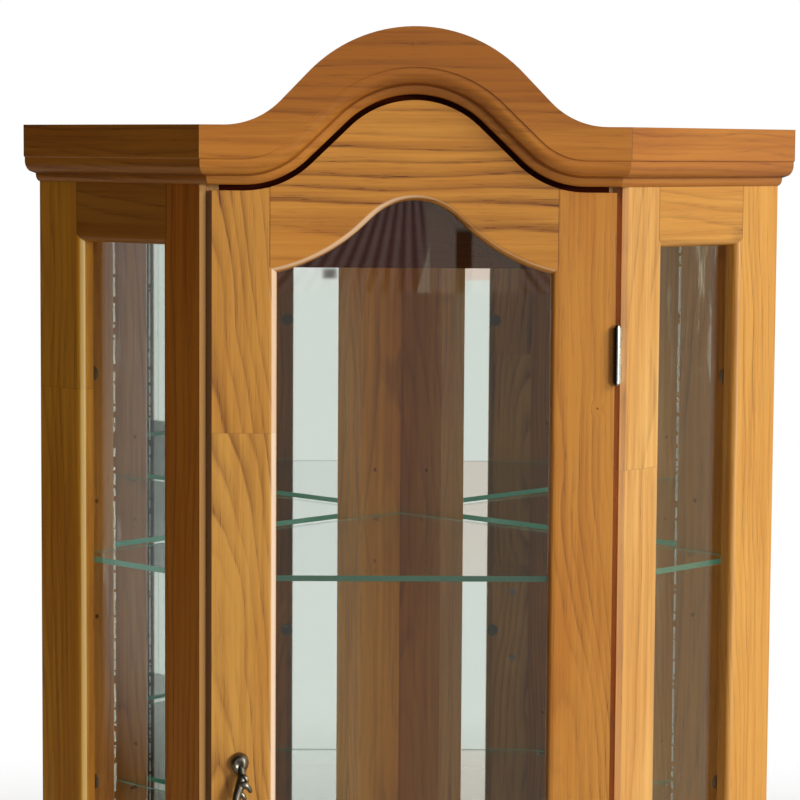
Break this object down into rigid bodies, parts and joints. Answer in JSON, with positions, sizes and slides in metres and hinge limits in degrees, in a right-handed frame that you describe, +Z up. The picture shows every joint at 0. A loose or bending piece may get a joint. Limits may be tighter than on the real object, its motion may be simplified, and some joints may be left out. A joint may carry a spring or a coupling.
{
  "type": "corner curio cabinet",
  "caption": "Corner display cabinet in golden oak with an arched cornice, an arched glass door, glazed sides, mirror backs and glass shelves.",
  "frame": {"origin": "on the floor, under the middle of the cabinet's box", "axes": "+Z up, -Y to the front (the door), +X to the right as seen from the front; the room's corner is at +Y"},
  "size_m": [0.8312, 0.613, 1.8475],
  "materials": {
    "oak": "golden oak stain, satin lacquer",
    "oak_ply": "oak-faced panel, satin",
    "clear_glass": "clear float glass, 4 mm",
    "shelf_glass": "clear float glass with ground green edges, 6 mm",
    "mirror": "silvered glass",
    "antique_brass": "antique bronze plating, satin",
    "polished_steel": "nickel plated",
    "zinc_steel": "zinc plated",
    "clear_plastic": "clear plastic",
    "brown_plastic": "dark brown plastic",
    "glide_plastic": "black plastic"
  },
  "bodies": {
    "carcass": {"back_panel_left": "oak_ply", "back_panel_right": "oak_ply", "base_board_front": "oak", "base_moulding_front": "oak", "base_moulding_left": "oak", "base_moulding_right": "oak", "ceiling_batten_left": "oak", "ceiling_batten_right": "oak", "ceiling_panel": "oak", "corner_lining_left": "oak", "corner_lining_right": "oak", "cornice_front": "oak", "cornice_left": "oak", "cornice_right": "oak", "deck_board": "oak", "deck_cleat_left": "oak", "deck_cleat_right": "oak", "deck_front_rail": "oak", "door_stop_board": "oak", "glides": "glide_plastic", "header_board": "oak", "hinge_frame_leaves": "antique_brass", "hinge_frame_screws": "antique_brass", "hinge_pins": "antique_brass", "magnetic_catch": "brown_plastic", "mirror_left": "mirror", "mirror_right": "mirror", "post_left": "oak", "post_right": "oak", "rear_corner_block": "oak", "rear_lining_left": "oak", "rear_lining_right": "oak", "rear_stile_left": "oak", "rear_stile_right": "oak", "shelf_pins": "polished_steel", "side_bottom_rail_left": "oak", "side_bottom_rail_right": "oak", "side_glass_clips_left": "clear_plastic", "side_glass_clips_right": "clear_plastic", "side_glass_left": "clear_glass", "side_glass_right": "clear_glass", "side_top_rail_left": "oak", "side_top_rail_right": "oak", "top_board": "oak"},
    "door": {"door_arch_rail": "oak", "door_bottom_rail": "oak", "door_glass": "clear_glass", "door_glass_clips": "clear_plastic", "door_handle": "antique_brass", "door_hinge_stile": "oak", "door_latch_stile": "oak", "handle_screws": "zinc_steel", "hinge_door_leaves": "antique_brass", "hinge_door_screws": "antique_brass", "strike_plate": "zinc_steel"},
    "shelf_upper": {"glass_shelf_upper": "shelf_glass"},
    "shelf_middle": {"glass_shelf_middle": "shelf_glass"},
    "shelf_lower": {"glass_shelf_lower": "shelf_glass"}
  },
  "joints": [
    {"name": "door_hinge", "type": "hinge", "parent": "carcass", "child": "door", "pos_m": [0.20775, -0.28892, 0.9], "axis": [0, 0, 1], "range_deg": [0, 110]},
    {"name": "shelf_upper_lift", "type": "slide", "parent": "carcass", "child": "shelf_upper", "axis": [0, 0, 1], "range_m": [0, 0.03]},
    {"name": "shelf_middle_lift", "type": "slide", "parent": "carcass", "child": "shelf_middle", "axis": [0, 0, 1], "range_m": [0, 0.03]},
    {"name": "shelf_lower_lift", "type": "slide", "parent": "carcass", "child": "shelf_lower", "axis": [0, 0, 1], "range_m": [0, 0.03]}
  ]
}
